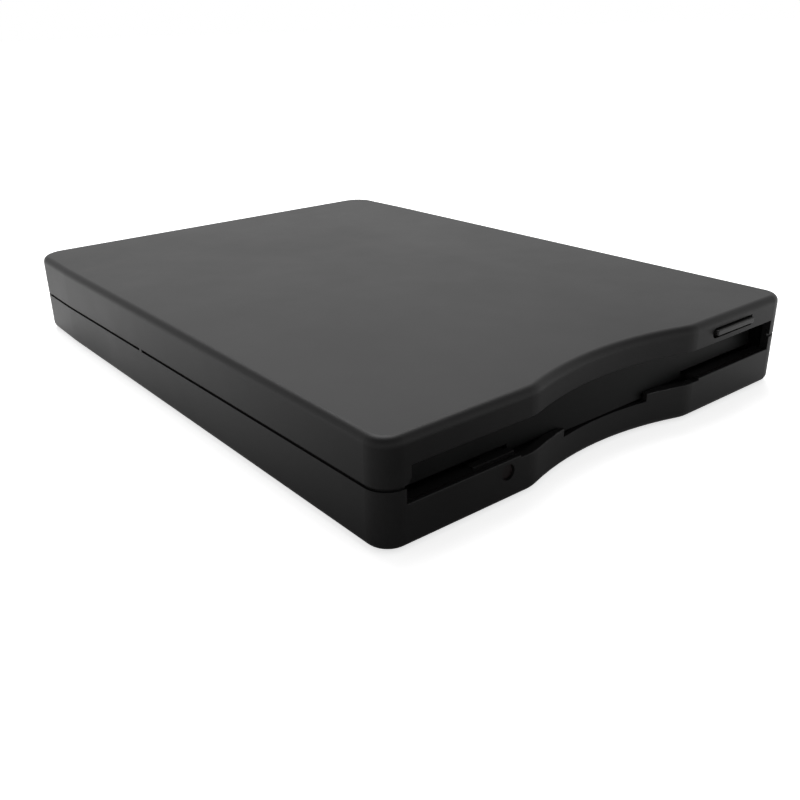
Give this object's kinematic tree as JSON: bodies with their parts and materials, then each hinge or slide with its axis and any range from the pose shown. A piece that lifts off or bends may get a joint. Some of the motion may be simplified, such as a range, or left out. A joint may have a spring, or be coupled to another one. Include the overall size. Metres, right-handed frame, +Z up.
{
  "type": "external floppy disk drive",
  "caption": "Flat black two-part case with a finger recess, a wide disk slot behind a sprung dust door, an eject button and a light, around a slim disk mechanism.",
  "frame": {"origin": "on the surface that the feet stand on, under the middle of the whole, the button included", "axes": "+X to the right seen from the front, +Y from the front face to the back, +Z up"},
  "size_m": [0.104, 0.1428, 0.0188],
  "materials": {
    "case_plastic": "fine satin texture, near black",
    "door_plastic": "smooth satin, near black",
    "button_plastic": "satin, near black",
    "foot_rubber": "matt",
    "dark_screw": "black oxide",
    "lens_plastic": "smoked, unlit",
    "led_resin": "clear tinted resin",
    "cast_alloy": "cast and machined",
    "steel_sheet": "zinc plated sheet",
    "spring_steel": "bright wire",
    "shaft_steel": "ground",
    "bearing_bronze": "sintered bronze",
    "coil_copper": "enamelled copper wire",
    "magnet_ferrite": "bonded ferrite",
    "rotor_steel": "pressed sheet",
    "inner_plastic": "glass filled",
    "head_ceramic": "polished ceramic",
    "board_green": "solder mask",
    "chip_black": "moulded",
    "ribbon_film": "polyester film",
    "connector_white": "moulded",
    "socket_steel": "tin plated"
  },
  "bodies": {
    "case": {"top_cover": "case_plastic", "bottom_cover": "case_plastic", "rubber_feet": "foot_rubber", "case_screws": "dark_screw", "chassis_screws": "dark_screw", "light_pipe": "lens_plastic", "status_led": "led_resin", "door_spring": "spring_steel", "eject_springs": "spring_steel", "motor_plate": "rotor_steel", "spindle_bearing": "bearing_bronze", "stator_core": "rotor_steel", "stator_coils": "coil_copper", "guide_rods": "shaft_steel", "rod_clips": "inner_plastic", "screw_bracket": "steel_sheet", "stepper_motor": "rotor_steel", "chassis": "cast_alloy", "top_shield": "steel_sheet", "shield_screws": "shaft_steel", "drive_board": "board_green", "board_chips": "chip_black", "bay_switches": "chip_black", "track_sensor": "chip_black", "usb_board": "board_green", "usb_chips": "chip_black", "usb_socket": "socket_steel", "usb_tongue": "chip_black", "board_connectors": "connector_white", "ribbon_cable": "ribbon_film"},
    "door": {"dust_door": "door_plastic"},
    "eject": {"eject_button": "button_plastic", "slide_plate": "steel_sheet"},
    "holder": {"disk_holder": "steel_sheet", "holder_pins": "shaft_steel", "lever_rivet": "shaft_steel", "lever_spring": "spring_steel"},
    "lever": {"shutter_lever": "steel_sheet"},
    "rotor": {"spindle_rotor": "rotor_steel", "rotor_magnet": "magnet_ferrite", "spindle_hub": "shaft_steel", "drive_pin": "shaft_steel"},
    "carriage": {"head_carriage": "inner_plastic", "follower_pin": "shaft_steel", "lower_head": "head_ceramic", "arm_pin": "shaft_steel", "arm_spring": "spring_steel"},
    "arm": {"head_arm": "inner_plastic", "upper_head": "head_ceramic"},
    "screw": {"lead_screw": "shaft_steel"}
  },
  "joints": [
    {"name": "door_hinge", "type": "hinge", "parent": "case", "child": "door", "pos_m": [0, -0.06563, 0.0146], "axis": [1, 0, 0], "range_deg": [0, 94.5], "stiffness_Nm_per_rad": 0.0005, "springref_deg": -17.19},
    {"name": "eject_slide", "type": "slide", "parent": "case", "child": "eject", "axis": [0, -1, 0], "range_m": [-0.0005, 0.0035], "deforming": ["eject_springs"]},
    {"name": "holder_drop", "type": "slide", "parent": "case", "child": "holder", "axis": [0, 0, -1], "range_m": [-0.00025, 0.00175]},
    {"name": "lever_swing", "type": "hinge", "parent": "holder", "child": "lever", "pos_m": [0.04, 0.02538, 0.0145], "axis": [0, 0, -1], "range_deg": [0, 58], "stiffness_Nm_per_rad": 0.001, "springref_deg": -17.19},
    {"name": "spindle_turn", "type": "hinge", "parent": "case", "child": "rotor", "pos_m": [0, -0.01762, 0.005], "axis": [0, 0, 1], "continuous": true},
    {"name": "carriage_slide", "type": "slide", "parent": "case", "child": "carriage", "axis": [0, -1, 0], "range_m": [0, 0.0148]},
    {"name": "screw_turn", "type": "hinge", "parent": "case", "child": "screw", "pos_m": [0.02, 0.01937, 0.0066], "axis": [0, 1, 0], "range_deg": [0, 1422]},
    {"name": "arm_drop", "type": "hinge", "parent": "carriage", "child": "arm", "pos_m": [0, 0.04537, 0.012], "axis": [1, 0, 0], "range_deg": [-1.3, 8.75]}
  ],
  "couplings": [
    {"joint": "holder_drop", "follows": "eject_slide", "ratio": 0.5},
    {"joint": "arm_drop", "follows": "eject_slide", "rad_per_m": 43.384},
    {"joint": "screw_turn", "follows": "carriage_slide", "rad_per_m": 1675.5}
  ]
}
